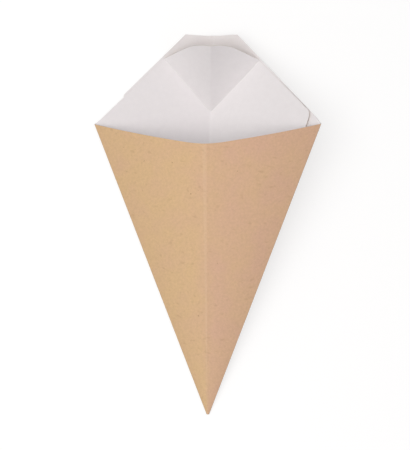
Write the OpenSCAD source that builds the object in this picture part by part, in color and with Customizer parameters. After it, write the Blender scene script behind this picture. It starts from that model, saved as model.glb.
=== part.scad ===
// Fries cone with a dip pocket, folded from one sheet of coated card.
// The sheet wraps round its tip in three creased panels: back, front and partition.
// The partition lies on the inside of the back, glued to it. Above a V of creases it is folded
// the other way, so that it stands forward of the back and makes a pointed pocket for the dip.
// The cone lies on the left half of its back, with its tip at -Y and its mouth at +Y.
// Each panel is drawn flat, as [across, along] its centre crease from the tip, and then folded.

/* [Card] */
// Thickness of the card
card = 0.4; // [0.3:0.05:0.6]
// Angle by which each half panel is folded up from flat
fold_angle = 22; // [14:1:28]
// Fullness of a side fold: how far its round outside stands proud of the card's two faces
fold_fullness = 0.04; // [0.03:0.01:0.1]
// Depth to which glued faces sink into each other
glue_bite = 0.05; // [0.03:0.01:0.1]

/* [Cone] */
// Width across the mouth corners with the card pressed flat
mouth_width = 145; // [120:1:170]
// Length of the creases from the tip up to the level of the mouth corners
cone_length = 171; // [140:1:210]
// Length that is lost at the blunt tip, where the side folds run together
tip_blunt = 1; // [0.6:0.1:1.5]

/* [Front] */
// Depth below the mouth corners at which the two slopes of the front's edge would meet
mouth_dip = 10; // [4:0.5:16]
// Radius of the hollow between those slopes
mouth_radius = 250; // [100:5:300]

/* [Back] */
// Height of the back's flat top above the mouth corners
peak_rise = 59.5; // [45:0.5:72]
// Width of the back's flat top
peak_width = 34; // [20:1:45]
// Angle by which the back's glued edge stops short of the left fold
seam_angle = 7; // [4:0.5:10]

/* [Partition] */
// Angle by which the partition's loose edge stops short of the right fold
margin_angle = 2.8; // [2:0.1:5]
// Distance of the partition's shoulders below the back's
shoulder_step = 1; // [0.5:0.1:2]
// Radius of the partition's loose corner
corner_radius = 4; // [1:0.5:8]
// Height above the tip to which the partition's loose edge is trimmed, so that the tip can close
tip_relief = 14; // [10:1:25]

/* [Dip pocket] */
// Height of the pocket's point above the mouth corners
pocket_height = 14; // [8:0.5:20]
// Flat width of the pocket where its creases reach the shoulders
pocket_width = 62; // [50:1:72]
// Length from the pocket's point up to where the two slopes of its lip would meet
lip_length = 53; // [46:0.5:60]
// Radius of the lip between those slopes
lip_radius = 30; // [10:1:36]

/* [Hidden] */
$fn = 32;

card_colour = [0.82, 0.68, 0.53];
arc_steps = 16;
half_mouth = mouth_width / 2;
top = cone_length + peak_rise;
reach = 2 * (top + mouth_width);

// Angle between the centre crease and a side fold, on the flat card
side_angle = atan2(half_mouth, cone_length);
// Angle between the plane of the two side folds and either centre crease
lean = atan(tan(side_angle) * sin(fold_angle));
// Angle inside a side fold, between the back and the front
side_fold_angle = 2 * atan(tan(fold_angle) / cos(side_angle));
// Radius of the card's outside where it turns round a side fold
fold_radius = card + fold_fullness;
// Length by which the card runs on past a crease, inside the bend
crease_lap = card / 4;

// The left fold lies a card's thickness inside the back, because the partition turns in there
front_tuck = card / sin(side_fold_angle);
partition_tuck = card / tan(side_fold_angle) + card * tan(fold_angle) * cos(side_angle);
partition_lift = card / cos(fold_angle);

// A line is [point, direction], on the flat card
function across(line) = [[-line[0].x, line[0].y], [-line[1].x, line[1].y]];
function radial(angle) = [[0, 0], [sin(angle), cos(angle)]];
function level(along) = [[0, along], [1, 0]];
function between(from, to) = [from, (to - from) / norm(to - from)];
// The line moved to the left of its direction
function moved(line, step) = [line[0] + step * [-line[1].y, line[1].x], line[1]];
function turn(a, b) = a.x * b.y - a.y * b.x;
function meet(a, b) = a[0] + a[1] * turn(b[0] - a[0], b[1]) / turn(a[1], b[1]);

right_fold = radial(side_angle);
left_fold = across(right_fold);
seam = across(radial(side_angle - seam_angle));
mouth_corner = [half_mouth, cone_length];
peak_corner = [peak_width / 2, top];
shoulder = between(mouth_corner, peak_corner);
partition_shoulder = moved(shoulder, shoulder_step);

pocket_point = [0, cone_length + pocket_height];
pocket_corner = meet(partition_shoulder, [[pocket_width / 2, 0], [0, 1]]);
pocket_crease = between(pocket_point, pocket_corner);
// Angle between the centre crease and either pocket crease, on the flat card
pocket_angle = atan2(pocket_crease[1].x, pocket_crease[1].y);
// Angle between the partition's centre crease and the pocket's ridge
pocket_lean = 2 * atan(tan(pocket_angle) * sin(fold_angle));

// An outline's corners are [across, along] or, where the corner is rounded, [across, along, radius]
function unit(v) = v / norm(v);
function flat(corner) = [corner.x, corner.y];
function swung(v, angle) = [v.x * cos(angle) - v.y * sin(angle), v.x * sin(angle) + v.y * cos(angle)];
function corner_arc(before, corner, after, radius) =
    let (to_before = unit(before - corner))
    let (to_after = unit(after - corner))
    let (opening = acos(to_before * to_after))
    let (centre = corner + unit(to_before + to_after) * radius / sin(opening / 2))
    let (start = corner + to_before * radius / tan(opening / 2) - centre)
    let (sweep = sign(turn(to_after, to_before)) * (180 - opening))
    [for (step = [0 : arc_steps]) centre + swung(start, sweep * step / arc_steps)];
function rounded(corners) = [
    for (i = [0 : len(corners) - 1])
        let (corner = corners[i])
        let (before = corners[(i + len(corners) - 1) % len(corners)])
        let (after = corners[(i + 1) % len(corners)])
        each len(corner) == 2
            ? [corner]
            : corner_arc(flat(before), flat(corner), flat(after), corner.z)
];

// The right (1) or left (-1) half of a panel, turned up about the centre crease
module turned_up(side, angle) {
    rotate([0, -side * angle, 0]) children();
}

// A flat panel creased along its centre, its two halves turned up to meet in a mitre
module creased(angle) {
    for (side = [1, -1]) {
        intersection() {
            turned_up(side, angle) children();
            translate([side * reach / 2, 0, 0]) cube(reach, center = true);
        }
    }
}

// Card under an outline, from its face at height 0 through to the given depth
module sheet(corners, depth = card) {
    translate([0, 0, -depth]) linear_extrude(depth) polygon(rounded(corners));
}

// The round outside of a side fold, along a line of the flat card
module turned_edge(line) {
    start = meet(line, level(tip_blunt));
    end = meet(line, level(cone_length));
    heading = atan2(line[1].x, line[1].y);
    translate([start.x, start.y, 0])
        rotate([-90, 0, -heading])
            cylinder(r = fold_radius, h = norm(end - start));
}

module back_panel() {
    edge = moved(right_fold, -crease_lap);
    creased(fold_angle)
        sheet([
            meet(seam, level(tip_blunt)),
            meet(edge, level(tip_blunt)),
            meet(edge, shoulder),
            peak_corner,
            [-peak_corner.x, peak_corner.y],
            meet(seam, across(shoulder)),
        ]);
    turned_up(1, fold_angle) turned_edge(right_fold);
}

module front_panel() {
    edge = moved(right_fold, -crease_lap);
    tucked_fold = moved(left_fold, -front_tuck);
    tucked_edge = moved(tucked_fold, crease_lap);
    slope = between(mouth_corner, [0, cone_length - mouth_dip]);
    rotate([2 * lean, 0, 0]) {
        creased(-fold_angle)
            translate([0, 0, card])
                sheet([
                    meet(tucked_edge, level(tip_blunt)),
                    meet(edge, level(tip_blunt)),
                    meet(edge, slope),
                    [0, cone_length - mouth_dip, mouth_radius],
                    meet(tucked_edge, across(slope)),
                ]);
        turned_up(-1, -fold_angle) turned_edge(tucked_fold);
    }
}

module partition_panel() {
    edge = radial(side_angle - margin_angle);
    tucked_edge = moved(left_fold, crease_lap - partition_tuck);
    crease = moved(pocket_crease, crease_lap);
    loose_corner = meet(edge, partition_shoulder);
    translate([0, 0, partition_lift])
        creased(fold_angle)
            sheet([
                meet(tucked_edge, seam),
                meet(edge, level(tip_relief)),
                [loose_corner.x, loose_corner.y, corner_radius],
                meet(crease, partition_shoulder),
                meet(crease, across(crease)),
                meet(across(crease), across(partition_shoulder)),
                meet(tucked_edge, across(partition_shoulder)),
            ], card + glue_bite);
}

module pocket_panel() {
    crease = moved(pocket_crease, -card);
    lip_peak = pocket_point + [0, lip_length];
    lip = between(pocket_corner, lip_peak);
    translate([0, 0, partition_lift])
        translate(pocket_point)
            rotate([pocket_lean, 0, 0])
                creased(-fold_angle)
                    translate(-pocket_point)
                        sheet([
                            meet(crease, across(crease)),
                            meet(crease, lip),
                            [lip_peak.x, lip_peak.y, lip_radius],
                            meet(across(crease), across(lip)),
                        ]);
}

module folded_cone() {
    middle = half_mouth * (cos(2 * fold_angle) - 1) / 2;
    color(card_colour)
        translate([-middle, -(tip_blunt + top) / 2, card])
            turned_up(1, fold_angle) {
                back_panel();
                front_panel();
                partition_panel();
                pocket_panel();
            }
}

folded_cone();
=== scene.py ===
# A fries cone with a dip pocket: one sheet of coated kraft card, creased and wrapped round its tip.
import math

import bmesh
import bpy
from mathutils import Matrix, Quaternion, Vector


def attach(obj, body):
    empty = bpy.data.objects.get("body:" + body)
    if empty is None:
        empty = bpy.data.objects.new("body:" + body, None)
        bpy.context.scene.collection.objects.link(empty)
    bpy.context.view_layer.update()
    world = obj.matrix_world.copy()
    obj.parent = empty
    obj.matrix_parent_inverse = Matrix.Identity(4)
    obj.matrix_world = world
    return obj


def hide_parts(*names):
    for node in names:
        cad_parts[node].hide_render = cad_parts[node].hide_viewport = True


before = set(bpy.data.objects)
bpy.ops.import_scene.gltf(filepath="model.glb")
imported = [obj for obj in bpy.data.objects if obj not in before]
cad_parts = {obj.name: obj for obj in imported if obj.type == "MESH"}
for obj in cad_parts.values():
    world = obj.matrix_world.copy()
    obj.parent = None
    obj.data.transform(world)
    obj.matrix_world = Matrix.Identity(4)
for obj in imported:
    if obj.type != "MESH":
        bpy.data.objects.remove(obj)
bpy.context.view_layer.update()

MM = 0.001
# Slack for cuts and comparisons
SLACK = 1e-6
HAIR = 1e-7

CARD = 0.4 * MM
# Half of the bend at a panel's centre crease
FOLD = math.radians(22)
# Room between layers that lie on each other, and under the partition's loose edge
GLUE_GAP = 0.1 * MM
LOOSE_GAP = 0.7 * MM

# Blank, as lengths from the tip along a panel's centre crease and across it
HALF_MOUTH = 72.5 * MM
CONE_LENGTH = 171 * MM
TIP_BLUNT = 1.9 * MM
PEAK = 230.8 * MM
HALF_PEAK = 16.7 * MM
MOUTH_DIP = 9.3 * MM
MOUTH_RADIUS = 100 * MM
CORNER_RADIUS = 5 * MM
CORNER_EASE = 5 * MM
# What the back lacks along the left fold, and the partition along the right fold
SEAM_ANGLE = math.radians(6.6)
MARGIN_ANGLE = math.radians(2.75)
# How far from the tip the partition stops, at the left fold and at its loose edge
TUCK_TRIM = 5 * MM
LOOSE_TRIM = 26 * MM
# How far a shoulder's foot or head stands out from the line between the corners of mouth and peak
BACK_FLARE = 0.5 * MM
LOOSE_FLARE = 0.3 * MM
TUCKED_FLARE = -0.4 * MM
PARTITION_STEP = -1.9 * MM

# Dip pocket: the point and half width of its V of creases, and the lip above it
POCKET_POINT = 184 * MM
HALF_POCKET = 30 * MM
LIP_PEAK = 234.6 * MM
LIP_RADIUS = 30 * MM
# The pocket curls outward from this share of its height up, and sways a little to the right
LIP_CURL = 0.45
CURL_TURN = 0.5
POCKET_SWAY = 0.07
# The back's centre crease is rounded off by this much at the peak, over this half width
PEAK_EASE = 2.5 * MM
HALF_EASED = 24 * MM

# How far each half panel bows, from the back's left half to the partition's right half
HALVES = 6
BOW = [math.radians(degrees) for degrees in (0, 6, 18, 18, 0, 6)]
# The front's bow would keep the cone from closing, so three folds spring by a little, and the half that is
# tucked in is a little wider, which drops the partition's crease into the back's
FRONT_SPRING = math.radians(-0.6)
TUCK_SPRING = math.radians(0.17)
PARTITION_SPRING = math.radians(0.6)
TUCKED_HALF = 4
TUCKED_SPARE = math.radians(0.28)

# Angle between a panel's centre crease and its side fold, on the flat card
SIDE = math.atan2(HALF_MOUTH, CONE_LENGTH)
# Angle between the plane of the two side folds and either centre crease
LEAN = math.atan(math.tan(SIDE) * math.sin(FOLD))
# Angle inside a side fold, between back and front
INSIDE = 2 * math.atan(math.tan(FOLD) / math.cos(SIDE))

# The cone lies on the left half of its back, with the tip of the card's white face here
TIP = Vector((HALF_MOUTH * (1 - math.cos(2 * FOLD)) / 2, -(TIP_BLUNT + PEAK) / 2, CARD))
# From the cone's own frame, with Y up its centre crease and Z out of its hollow, to where it lies
LAID = Matrix.Translation(TIP) @ Matrix.Rotation(-FOLD, 4, "Y")


# The blank's outline. Angles run clockwise round the tip, from the back's centre crease at 0

def crossing(a, b, c, d):
    """Where the line through a and b meets the line through c and d."""
    along = b - a
    other = d - c
    return a + along * (c - a).cross(other) / along.cross(other)


def spoke(angle):
    return Vector((math.sin(angle), math.cos(angle)))


def rounded(before, corner, after, radius, steps=16):
    """The corner's points once it is rounded to the radius."""
    into = (before - corner).normalized()
    out = (after - corner).normalized()
    half = into.angle(out) / 2
    centre = corner + (into + out).normalized() * radius / math.sin(half)
    start = corner + into * radius / math.tan(half) - centre
    end = corner + out * radius / math.tan(half) - centre
    sweep = start.angle_signed(end)
    return [centre + Matrix.Rotation(-sweep * step / steps, 2) @ start for step in range(steps + 1)]


def mirrored(points):
    return [Vector((-p.x, p.y)) for p in reversed(points)]


origin = Vector((0, 0))
mouth_corner = Vector((HALF_MOUTH, CONE_LENGTH))
peak_corner = Vector((HALF_PEAK, PEAK))
outward = Vector((peak_corner.y - mouth_corner.y, mouth_corner.x - peak_corner.x)).normalized()


def shoulder(foot_out, head_out):
    """A shoulder's foot, just up from the mouth's corner, and its head, each set out from the straight line."""
    foot = mouth_corner + outward * foot_out
    head = peak_corner + outward * head_out
    return foot + (head - foot).normalized() * CORNER_EASE, head


back_foot, back_head = shoulder(BACK_FLARE, 0)
seam_corner = crossing(back_foot, back_head, origin, spoke(SIDE - SEAM_ANGLE))
back_edge = mirrored([back_head] + rounded(back_head, seam_corner, origin, CORNER_RADIUS))
back_edge += [back_head, back_foot, mouth_corner]

dip = Vector((0, CONE_LENGTH - MOUTH_DIP))
front_edge = mirrored([mouth_corner])
front_edge += rounded(front_edge[0], dip, mouth_corner, MOUTH_RADIUS)
front_edge += [mouth_corner]

left_shoulder = mirrored(shoulder(TUCKED_FLARE, PARTITION_STEP))
right_shoulder = shoulder(LOOSE_FLARE, PARTITION_STEP)
pocket_point = Vector((0, POCKET_POINT))
pocket_corner = crossing(*right_shoulder, Vector((HALF_POCKET, 0)), Vector((HALF_POCKET, 1)))
left_corner = crossing(*left_shoulder, pocket_point, *mirrored([pocket_corner]))
right_corner = crossing(*right_shoulder, pocket_point, pocket_corner)
lip_peak = Vector((0, LIP_PEAK))
loose_corner = crossing(*right_shoulder, origin, spoke(SIDE - MARGIN_ANGLE))
partition_edge = mirrored([mouth_corner]) + [left_shoulder[1], left_corner]
partition_edge += rounded(left_corner, lip_peak, right_corner, LIP_RADIUS)
partition_edge += [right_corner]
partition_edge += rounded(right_corner, loose_corner, origin, CORNER_RADIUS)

outline = []
for panel, edge in enumerate((back_edge, front_edge, partition_edge)):
    for point in edge:
        outline.append((2 * SIDE * panel + math.atan2(point.x, point.y), point.length))
outline.sort(key=lambda place: place[0])


def reach(angle):
    """Length of the card from the tip to its outline."""
    angle = min(max(angle, outline[0][0]), outline[-1][0])
    for (a0, r0), (a1, r1) in zip(outline, outline[1:]):
        if a0 <= angle <= a1:
            if a1 - a0 < HAIR:
                return r1
            near = spoke(a0) * r0
            far = spoke(a1) * r1
            return crossing(origin, spoke(angle), near, far).length
    return outline[-1][1]


# Creases, each a narrow band of edges that share its bend: place, bend, half width in degrees, edges
CREASES = [
    (1, 2 * FOLD, 0.16, 5),
    (2, math.pi - INSIDE, 0.16, 9),
    (3, 2 * FOLD + FRONT_SPRING, 0.38, 7),
    (4, math.pi - INSIDE + TUCK_SPRING, 0.16, 9),
    (5, 2 * FOLD + PARTITION_SPRING, 0.2, 5),
]
# Plain lines lie beside each crease, at the outline's corners and evenly between, with room to other lines
GUARD = math.radians(0.12)
SPACING = math.radians(1.3)
CORNER_ROOM = math.radians(0.06)
EVEN_ROOM = math.radians(0.3)

seam_line = SEAM_ANGLE - SIDE
loose_line = 5 * SIDE - MARGIN_ANGLE


def ease(bend, half_width, edges):
    """How much further than its half width a rounded crease's straight sides run before they meet."""
    step = 2 * half_width / (edges - 1)
    part = bend / edges
    chord = step * math.sin((edges - 1) * part / 2) / math.sin(part / 2)
    return chord / (2 * math.cos(bend / 2)) - half_width


lines = {}
eases = [0] * (HALVES + 1)
for place, bend, half_width, edges in CREASES:
    half_width = math.radians(half_width)
    bend -= (BOW[place - 1] + BOW[place]) / 2
    eases[place] = ease(bend, half_width, edges)
    middle = (place - 1) * SIDE
    for i in range(edges):
        lines[middle + half_width * (2 * i / (edges - 1) - 1)] = bend / edges
    lines[middle - half_width - GUARD] = 0
    lines[middle + half_width + GUARD] = 0


def clear_of_lines(angle, room):
    return all(abs(angle - other) > room for other in lines)


lines[seam_line] = 0
lines[loose_line] = 0
for angle, _ in outline:
    if clear_of_lines(angle, CORNER_ROOM):
        lines[angle] = 0
for half in range(HALVES):
    first = max((half - 1) * SIDE, seam_line)
    last = min(half * SIDE, loose_line)
    count = round((last - first) / SPACING)
    even = [first + (last - first) * i / count for i in range(1, count)]
    even = [angle for angle in even if clear_of_lines(angle, EVEN_ROOM)]
    for angle in even:
        lines[angle] = BOW[half] / len(even)
lines = sorted(lines.items())


# How far each line slides sideways as the card goes round the left fold on to the inside of the back
LAYER = CARD + GLUE_GAP
LIFT_BY = LAYER / math.cos(FOLD)
LIFT = LAID.to_3x3() @ Vector((0, 0, LIFT_BY))
over = Vector((math.cos(SIDE), math.sin(SIDE), 0))
up_front = over * math.cos(INSIDE) + Vector((0, 0, 1)) * math.sin(INSIDE)
TUCK = up_front * LAYER / math.sin(INSIDE)
PEEL = LAID.to_3x3() @ Vector((-math.sin(FOLD), 0, math.cos(FOLD))) * LOOSE_GAP
TUCK_BAND = math.radians(0.2)
PEEL_START = math.radians(10)
SLIDES = [
    (2 * SIDE, Vector((0, 0, 0))),
    (3 * SIDE - TUCK_BAND, TUCK),
    (3 * SIDE + TUCK_BAND, TUCK),
    (4 * SIDE, LIFT),
    (4 * SIDE + PEEL_START, LIFT),
    (loose_line, LIFT + PEEL),
]


def slide(angle):
    if angle <= SLIDES[0][0]:
        return SLIDES[0][1]
    for (a0, s0), (a1, s1) in zip(SLIDES, SLIDES[1:]):
        if angle <= a1:
            return s0.lerp(s1, (angle - a0) / (a1 - a0))
    return SLIDES[-1][1]


def half_of(angle):
    return min(HALVES - 1, max(0, math.floor(angle / SIDE) + 1))


# Rings of faces from the tip to the outline
RINGS = 30
# A line that bends by more than this is scored into the card
SCORED = math.radians(3)
# Edges that bend by less than this are shaded as a curve
SMOOTH = math.radians(32)


def note(card, name, values):
    """Keeps a value for each line of the card, for its finishes to use."""
    kept = card.data.attributes.new(name, "FLOAT", "POINT")
    kept.data.foreach_set("value", [value for value in values for ring in range(RINGS + 1)])


def wrap_card():
    """Sweeps the card's glued edge round the tip, line by line, bending at each line as it goes."""
    first = lines[0][0]
    bpy.ops.object.select_all(action="DESELECT")
    bpy.ops.mesh.primitive_grid_add(x_subdivisions=1, y_subdivisions=RINGS, size=1)
    card = bpy.context.object
    card.name = "card_cone"
    bpy.ops.object.mode_set(mode="EDIT")
    bpy.ops.mesh.select_mode(type="VERT")
    for v in bmesh.from_edit_mesh(card.data).verts:
        v.select_set(v.co.x > 0)
    bpy.ops.mesh.delete(type="VERT")
    bpy.ops.mesh.select_all(action="SELECT")
    bpy.ops.transform.translate(value=(0.5, 0.5, 0))
    bpy.ops.transform.resize(value=(1, reach(first) - TIP_BLUNT, 1), center_override=(0, 0, 0))
    bpy.ops.transform.translate(value=(0, TIP_BLUNT, 0))
    bpy.ops.transform.rotate(value=first, orient_axis="Z", center_override=(0, 0, 0))
    bpy.ops.transform.translate(value=TIP)

    white = Vector((0, 0, 1))
    along = Vector((math.sin(first), math.cos(first), 0))
    turned_in = 0
    for (before, _), (angle, bend) in zip(lines, lines[1:]):
        half = half_of((before + angle) / 2)
        wide = SIDE if half else SIDE - SEAM_ANGLE
        turn = (angle - before) * (1 - (eases[half] + eases[half + 1]) / wide)
        if half == TUCKED_HALF:
            turn += TUCKED_SPARE * (angle - before) / SIDE
        centre = TIP + slide(before)
        bpy.ops.mesh.spin(steps=1, angle=turn, center=centre, axis=white, use_auto_merge=False)
        along.rotate(Quaternion(white, -turn))
        size = reach(angle) / reach(before)
        bpy.ops.transform.resize(value=(size, size, size), center_override=centre)
        bpy.ops.transform.translate(value=slide(angle) - slide(before))
        white.rotate(Quaternion(along, -bend))
        if angle < 3 * SIDE - SLACK:
            turned_in = len(bmesh.from_edit_mesh(card.data).verts)
    bpy.ops.object.mode_set(mode="OBJECT")
    note(card, "score", [float(bend > SCORED) for _, bend in lines])
    note(card, "reel", [angle for angle, _ in lines])
    partition = card.vertex_groups.new(name="partition")
    partition.add(range(turned_in, len(card.data.vertices)), 1, "REPLACE")
    return card


def ease_peak(card):
    """Rounds the back's centre crease more and more from the pocket's point up to the peak."""
    to_cone = LAID.inverted()
    mesh = card.data
    for v, reel in zip(mesh.vertices, mesh.attributes["reel"].data):
        place = to_cone @ v.co
        if reel.value < SIDE and place.y > POCKET_POINT:
            up = (place.y - POCKET_POINT) / (PEAK - POCKET_POINT)
            fade = max(0, 1 - abs(place.x) / HALF_EASED)
            round_off = PEAK_EASE * up * up
            slope = place.x * math.tan(FOLD)
            place.z += (math.hypot(slope, round_off) - abs(slope)) * fade
            v.co = LAID @ place


def select_partition():
    bpy.ops.mesh.select_all(action="DESELECT")
    bpy.ops.object.vertex_group_select()


def trim_partition_tip():
    """Cuts the partition off short of the tip, where the back and the front close on each other."""
    tucked = spoke(-SIDE) * TUCK_TRIM
    loose = spoke(SIDE - MARGIN_ANGLE) * LOOSE_TRIM
    cut = (loose - tucked).to_3d()
    bpy.ops.object.mode_set(mode="EDIT")
    select_partition()
    bpy.ops.mesh.bisect(
        plane_co=LAID @ tucked.to_3d(),
        plane_no=LAID.to_3x3() @ cut.cross(Vector((0, 0, 1))).normalized(),
        threshold=SLACK,
        clear_outer=True,
    )
    bpy.ops.object.mode_set(mode="OBJECT")


def pop_pocket_out(card):
    """Folds the partition the other way above the pocket's V of creases, then curls it."""
    point = LAID @ Vector((0, POCKET_POINT, LIFT_BY))
    opening = math.atan2(HALF_POCKET, pocket_corner.y - POCKET_POINT)
    rise = math.atan(math.tan(opening) * math.sin(FOLD))
    across = LAID.to_3x3() @ Vector((1, 0, 0))
    away = LAID.to_3x3() @ Vector((0, -math.sin(rise), math.cos(rise)))
    creases = Matrix((across, away.cross(across), away)).transposed()
    bpy.ops.object.mode_set(mode="EDIT")
    select_partition()
    bpy.ops.mesh.bisect(plane_co=point, plane_no=away, threshold=SLACK)
    mesh = bmesh.from_edit_mesh(card.data)
    weights = mesh.verts.layers.deform.verify()
    for v in mesh.verts:
        v.select_set(bool(v[weights]) and (v.co - point).dot(away) < HAIR)
    mesh.select_flush_mode()
    bpy.ops.transform.resize(
        value=(1, 1, -1),
        orient_type="GLOBAL",
        orient_matrix=creases,
        orient_matrix_type="GLOBAL",
        center_override=point,
    )
    popped = [v for v in bmesh.from_edit_mesh(card.data).verts if v.select]
    furthest = max((v.co - point).dot(away) for v in popped)
    for v in popped:
        out = (v.co - point).dot(away)
        v.co += (away * LIP_CURL * (out / furthest - CURL_TURN) + across * POCKET_SWAY) * out
    bpy.ops.object.mode_set(mode="OBJECT")


def thicken(card, finishes):
    """Gives the sheet its thickness, outside its white face, with a finish for each face and the cut edge."""
    for finish in finishes:
        card.data.materials.append(finish)
    bpy.ops.object.modifier_add(type="SOLIDIFY")
    wall = card.modifiers[-1]
    wall.thickness = CARD
    wall.offset = -1
    wall.use_even_offset = True
    wall.use_quality_normals = True
    wall.material_offset = 1
    wall.material_offset_rim = 2
    bpy.ops.object.modifier_apply(modifier=wall.name)
    card.vertex_groups.clear()
    bpy.ops.object.shade_smooth_by_angle(angle=SMOOTH)


def linear(hex_colour):
    """An sRGB hex colour as linear red, green, blue and alpha."""
    parts = [int(hex_colour[i:i + 2], 16) / 255 for i in (0, 2, 4)]
    return [c / 12.92 if c <= 0.04045 else ((c + 0.055) / 1.055) ** 2.4 for c in parts] + [1]


def add(tree, kind, values=None, **settings):
    """Adds a node with its settings; each value is a number, a colour or another node's output."""
    node = tree.nodes.new(kind)
    for name, setting in settings.items():
        setattr(node, name, setting)
    for socket, value in (values or {}).items():
        if isinstance(value, bpy.types.NodeSocket):
            tree.links.new(value, node.inputs[socket])
        else:
            node.inputs[socket].default_value = value
    return node


def new_material(name):
    material = bpy.data.materials.new(name)
    material.use_nodes = True
    material.node_tree.nodes.clear()
    return material


def where(tree):
    """A place on the card, in metres from its origin."""
    return add(tree, "ShaderNodeTexCoord").outputs["Object"]


def blotches(tree, place, size, detail, roughness=0.5):
    """Noise from 0 to 1, with blotches of about the size."""
    values = {"Vector": place, "Scale": 1 / size, "Detail": detail, "Roughness": roughness}
    return add(tree, "ShaderNodeTexNoise", values).outputs["Fac"]


def stretch(tree, value, start, end, to_start=0.0, to_end=1.0):
    """Stretches the values between start and end to a new range, and holds those outside at its ends."""
    return add(tree, "ShaderNodeMapRange", {0: value, 1: start, 2: end, 3: to_start, 4: to_end}).outputs[0]


def combine(tree, operation, *values, **settings):
    """Sums, products and the like of numbers."""
    return add(tree, "ShaderNodeMath", dict(enumerate(values)), operation=operation, **settings).outputs[0]


def blend(tree, share, first, second):
    """The first colour, mixed with this share of the second."""
    return add(tree, "ShaderNodeMix", {0: share, 6: first, 7: second}, data_type="RGBA").outputs[2]


def surface(tree, values):
    """Ends a material with its surface."""
    shader = add(tree, "ShaderNodeBsdfPrincipled", values)
    add(tree, "ShaderNodeOutputMaterial", {"Surface": shader.outputs[0]})


# Kraft liner: how wide its clouds, fibres, slivers and specks are drawn, and over what angle the painted sheen
# and shade change across the front's centre crease
CLOUD = 18 * MM
FIBRE = 1.4 * MM
SLIVER = 2.6 * MM
SPECK = 1.9 * MM
PAINTED_SHEEN_SPAN = math.radians(5)
# Film on the white face: how far apart its waves are. Cut edge: how wide its torn fibre ends are drawn
WAVE = 3 * MM
FIBRE_END = 0.8 * MM


def kraft_liner():
    """Unbleached kraft liner, calendered and uncoated: matt, cloudy brown with fine fibres and dark shives."""
    material = new_material("unbleached_kraft_liner")
    tree = material.node_tree
    place = where(tree)
    # The liner's tone goes from rose to yellow across the reel, at the front's middle, in broad clouds. The
    # clouds are the liner's own tone, while the rose half of the front is painted sheen and shade
    clouds = blotches(tree, place, CLOUD, 3, 0.55)
    across = add(tree, "ShaderNodeAttribute", attribute_name="reel").outputs["Fac"]
    # This step at the front's centre crease paints sheen and shade on the front's rose half
    painted_sheen_drift = stretch(tree, across, 2 * SIDE - PAINTED_SHEEN_SPAN, 2 * SIDE + PAINTED_SHEEN_SPAN, 0.0, -0.6)
    clouds_and_sheen = combine(tree, "MULTIPLY_ADD", clouds, 1.5, painted_sheen_drift, use_clamp=True)
    tone = blend(tree, clouds_and_sheen, linear("D0AF86"), linear("CFA98E"))
    # Fibre mottle: real fibres are 0.03 mm wide, and are drawn wider so that they show
    fibres = blotches(tree, place, FIBRE, 4, 0.7)
    fibre = stretch(tree, fibres, 0.3, 0.7, 0.93, 1.07)
    skin = add(tree, "ShaderNodeVectorMath", {0: tone, 3: fibre}, operation="SCALE").outputs[0]
    # Shives: faint slivers of bark that lie along the reel, twice as long as wide, and a few dark specks
    laid = add(tree, "ShaderNodeVectorMath", {0: place, 1: (0.5, 1, 1)}, operation="MULTIPLY").outputs[0]
    sliver = stretch(tree, blotches(tree, laid, SLIVER, 1), 0.66, 0.76, 0.0, 0.16)
    speck = stretch(tree, blotches(tree, place, SPECK, 1), 0.78, 0.82, 0.0, 0.5)
    flecked = blend(tree, combine(tree, "MAXIMUM", sliver, speck), skin, linear("8A6444"))
    # Scored lines are drawn paler
    score = add(tree, "ShaderNodeAttribute", attribute_name="score").outputs["Fac"]
    face = blend(tree, combine(tree, "MULTIPLY", score, 0.12), flecked, linear("E2C6A8"))
    bump = add(tree, "ShaderNodeBump", {"Strength": 0.25, "Distance": 0.05 * MM, "Height": fibres})
    surface(tree, {
        "Base Color": face,
        "Roughness": 0.78,
        "IOR": 1.5,
        "Specular IOR Level": 0.3,
        "Normal": bump.outputs[0],
    })
    return material


def white_coating():
    """Bleached liner under a thin film of polyethylene: clean white with a faint satin sheen."""
    material = new_material("bleached_coated_liner")
    tree = material.node_tree
    # The film is a little wavy over the fibres
    waves = blotches(tree, where(tree), WAVE, 3, 0.6)
    face = blend(tree, stretch(tree, waves, 0.3, 0.7), linear("E2DEDF"), linear("E5E1E2"))
    bump = add(tree, "ShaderNodeBump", {"Strength": 0.12, "Distance": 0.03 * MM, "Height": waves})
    surface(tree, {
        "Base Color": face,
        "Roughness": stretch(tree, waves, 0.3, 0.7, 0.42, 0.52),
        "IOR": 1.51,
        "Normal": bump.outputs[0],
    })
    return material


def cut_edge():
    """The card's core where the die cut it: pale, fuzzy layers of pulp."""
    material = new_material("die_cut_core")
    tree = material.node_tree
    ends = blotches(tree, where(tree), FIBRE_END, 2)
    face = blend(tree, ends, linear("D8D2C8"), linear("E6E1D9"))
    surface(tree, {"Base Color": face, "Roughness": 0.9, "Specular IOR Level": 0.2})
    return material


card = wrap_card()
ease_peak(card)
trim_partition_tip()
pop_pocket_out(card)
thicken(card, [white_coating(), kraft_liner(), cut_edge()])
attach(card, "root")
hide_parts("folded_cone")


# Studio, in the cone's frame with Z square to the plane of its side folds

CONE = LAID @ Matrix.Rotation(LEAN, 4, "X")
AIM = Vector((0, 120 * MM, 0))
# Camera: how far off, how much of the cone a pixel spans, how it is turned, and how far it is off the aim
PHOTO_WIDTH = 410
DISTANCE = 1.2
PIXEL = 0.591 * MM
YAW = math.radians(3.7)
PITCH = math.radians(0.19)
ROLL = math.radians(-0.11)
SHIFT_X = -2.7 * PIXEL
SHIFT_Y = -11.0 * PIXEL
SENSOR = 36
FAR = 20
# Light from all round, and how bright it looks
WORLD_LIGHT = 0.34
WORLD_SEEN = 1.0
FLOOR_SIZE = 8
FLOOR_GLOW = 0.64


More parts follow.
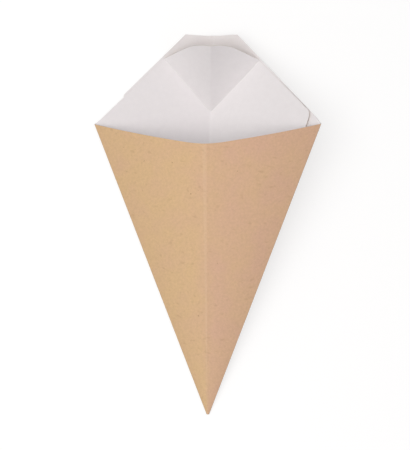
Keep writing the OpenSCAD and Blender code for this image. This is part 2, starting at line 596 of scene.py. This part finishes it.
def seen_directly(tree):
    """1 for a ray from the camera, a reflection or a clear part, and 0 for one that only carries light."""
    rays = add(tree, "ShaderNodeLightPath").outputs
    shiny = combine(tree, "MAXIMUM", rays["Is Camera Ray"], rays["Is Glossy Ray"])
    return combine(tree, "MAXIMUM", shiny, rays["Is Transmission Ray"])


def paper_sweep():
    """White seamless paper: the floor is plain white to the camera and keeps the shadow."""
    material = new_material("white_seamless_paper")
    tree = material.node_tree
    paper = add(tree, "ShaderNodeBsdfDiffuse", {"Color": linear("C4C4C4")})
    shade = add(tree, "ShaderNodeBsdfDiffuse", {"Color": linear("A8A8A8")})
    glow = add(tree, "ShaderNodeEmission", {"Color": linear("FFFFFF"), "Strength": FLOOR_GLOW})
    pale = add(tree, "ShaderNodeAddShader", {0: shade.outputs[0], 1: glow.outputs[0]})
    shown = add(tree, "ShaderNodeMixShader", {0: seen_directly(tree), 1: paper.outputs[0], 2: pale.outputs[0]})
    add(tree, "ShaderNodeOutputMaterial", {"Surface": shown.outputs[0]})
    return material


bpy.ops.object.select_all(action="DESELECT")
bpy.ops.mesh.primitive_plane_add(size=FLOOR_SIZE, location=(0, 0, 0))
floor = bpy.context.object
floor.name = "floor"
floor.data.materials.append(paper_sweep())

world = bpy.data.worlds.new("studio")
bpy.context.scene.world = world
world.use_nodes = True
around = world.node_tree
around.nodes.clear()
level = add(around, "ShaderNodeMix", {0: seen_directly(around), 2: WORLD_LIGHT, 3: WORLD_SEEN}, data_type="FLOAT")
sky = add(around, "ShaderNodeBackground", {"Color": linear("FFFFFF"), "Strength": level.outputs[0]})
add(around, "ShaderNodeOutputWorld", {"Surface": sky.outputs[0]})


def softbox(name, place, size, power, colour):
    """A square lamp at a place from the aim, facing the aim."""
    place = CONE @ (AIM + Vector(place))
    bpy.ops.object.light_add(type="AREA", location=place)
    lamp = bpy.context.object
    lamp.name = name
    lamp.rotation_euler = (place - CONE @ AIM).to_track_quat("Z", "Y").to_euler()
    lamp.data.shape = "SQUARE"
    lamp.data.size = size
    lamp.data.energy = power
    lamp.data.color = linear(colour)[:3]


softbox("key_softbox", place=(-0.2, 0.04, 1.6), size=1.1, power=19.4, colour="FFFDFB")
softbox("fill_softbox", place=(1.1, 0.1, 1.0), size=1.0, power=1.8, colour="FFF2FA")

bpy.ops.object.camera_add()
camera = bpy.context.object
camera.name = "camera"
camera.matrix_world = (
    CONE @ Matrix.Translation(AIM)
    @ Matrix.Rotation(YAW, 4, "Y") @ Matrix.Rotation(-PITCH, 4, "X") @ Matrix.Rotation(-ROLL, 4, "Z")
    @ Matrix.Translation(Vector((SHIFT_X, SHIFT_Y, DISTANCE)))
)
camera.data.sensor_fit = "HORIZONTAL"
camera.data.sensor_width = SENSOR
camera.data.lens = SENSOR * DISTANCE / (PHOTO_WIDTH * PIXEL)
camera.data.clip_end = FAR
bpy.context.scene.camera = camera
bpy.context.scene.view_settings.view_transform = "Standard"
